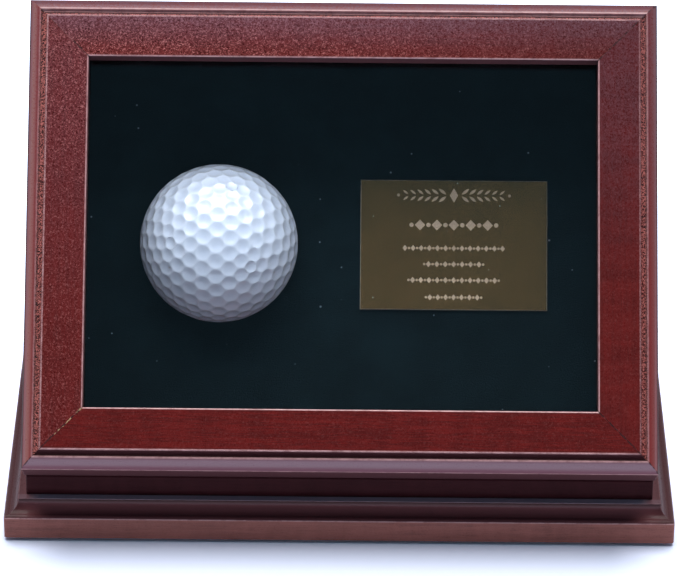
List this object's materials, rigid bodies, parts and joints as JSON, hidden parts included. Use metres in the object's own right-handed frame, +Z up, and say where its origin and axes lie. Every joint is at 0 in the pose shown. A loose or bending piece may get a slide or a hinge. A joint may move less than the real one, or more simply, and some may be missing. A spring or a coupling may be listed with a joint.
{
  "type": "golf ball display case",
  "caption": "Sloped wooden desk-top display case with a hinged, glazed, mitred frame over a felt-covered board that holds a golf ball and an engraved plate.",
  "frame": {"origin": "on the surface that the case stands on, in the middle of its footprint", "axes": "+Z up, +X to the viewer's right along the case's width, the sloped glazed front looks towards -Y"},
  "size_m": [0.1776, 0.1184, 0.1219],
  "materials": {
    "stained_wood": "reddish mahogany stain under satin lacquer",
    "raw_wood": "unfinished softwood",
    "fibreboard": "raw fibreboard",
    "black_felt": "short-pile velvet felt, near-black blue-green",
    "foot_felt": "pressed dark felt",
    "ball_cover": "white dimpled ionomer, semi-gloss",
    "plate_brass": "satin dark brass with paler engraving",
    "clear_glass": "clear float glass",
    "hinge_brass": "polished brass",
    "brass_screw": "turned brass",
    "zinc_screw": "zinc-plated steel",
    "nail_steel": "bright sheet steel",
    "strike_steel": "bright steel disc",
    "magnet_nickel": "nickel-plated magnet"
  },
  "bodies": {
    "case": {"base_board": "stained_wood", "feet": "foot_felt", "base_screws": "zinc_screw", "front_rail": "stained_wood", "strike_plate": "strike_steel", "left_side": "stained_wood", "right_side": "stained_wood", "back_panel": "stained_wood", "back_screws": "zinc_screw", "top_board": "stained_wood", "display_board": "fibreboard", "felt_cover": "black_felt", "golf_ball": "ball_cover", "name_plate": "plate_brass", "left_cleat": "raw_wood", "right_cleat": "raw_wood", "toe_cleat": "raw_wood", "left_hinge_case_leaf": "hinge_brass", "left_hinge_pin": "hinge_brass", "right_hinge_case_leaf": "hinge_brass", "right_hinge_pin": "hinge_brass", "case_hinge_screws": "brass_screw"},
    "lid": {"frame_bottom": "stained_wood", "bead_bottom": "stained_wood", "frame_top": "stained_wood", "bead_top": "stained_wood", "frame_left": "stained_wood", "bead_left": "stained_wood", "frame_right": "stained_wood", "bead_right": "stained_wood", "corner_nails": "nail_steel", "catch_magnet": "magnet_nickel", "glass_pane": "clear_glass", "left_hinge_lid_leaf": "hinge_brass", "right_hinge_lid_leaf": "hinge_brass", "lid_hinge_screws": "brass_screw"}
  },
  "joints": [
    {"name": "lid_hinge", "type": "hinge", "parent": "case", "child": "lid", "pos_m": [0, 0.03223, 0.11354], "axis": [-1, 0, 0], "range_deg": [0, 175]}
  ]
}
